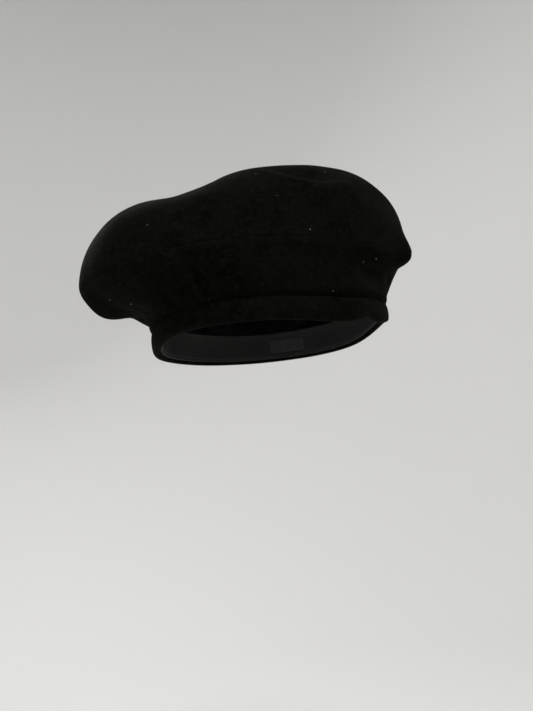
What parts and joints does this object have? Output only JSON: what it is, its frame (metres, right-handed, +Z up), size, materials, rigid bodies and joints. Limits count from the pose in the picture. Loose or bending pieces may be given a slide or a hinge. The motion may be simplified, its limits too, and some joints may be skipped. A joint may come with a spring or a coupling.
{
  "type": "felt beret",
  "caption": "Soft round felt beret in worn shape, pulled to one side, with a folded headband, satin lining and ribbon sweatband.",
  "frame": {"origin": "centre of the head opening, in the plane that the hem lies in", "axes": "+Z up into the crown, -Y to the front of the hat, +X to the wearer's left; the crown hangs out to -X"},
  "size_m": [0.2379, 0.244, 0.1309],
  "materials": {
    "shell_felt": "matte",
    "band_felt": "matte",
    "stiffening_tape": "matte",
    "lining_satin": "satin",
    "grosgrain_ribbon": "satin",
    "label_tape": "matte",
    "sewing_thread": "satin"
  },
  "bodies": {
    "root": {"crown_top": "shell_felt", "crown_underside": "shell_felt", "headband": "band_felt", "headband_tape": "stiffening_tape", "lining_top": "lining_satin", "lining_side": "lining_satin", "sweatband": "grosgrain_ribbon", "size_label": "label_tape", "rim_seam_stitches": "sewing_thread", "lining_seam_stitches": "sewing_thread", "band_seam_stitches": "sewing_thread", "sweatband_stitches": "sewing_thread"}
  },
  "joints": []
}
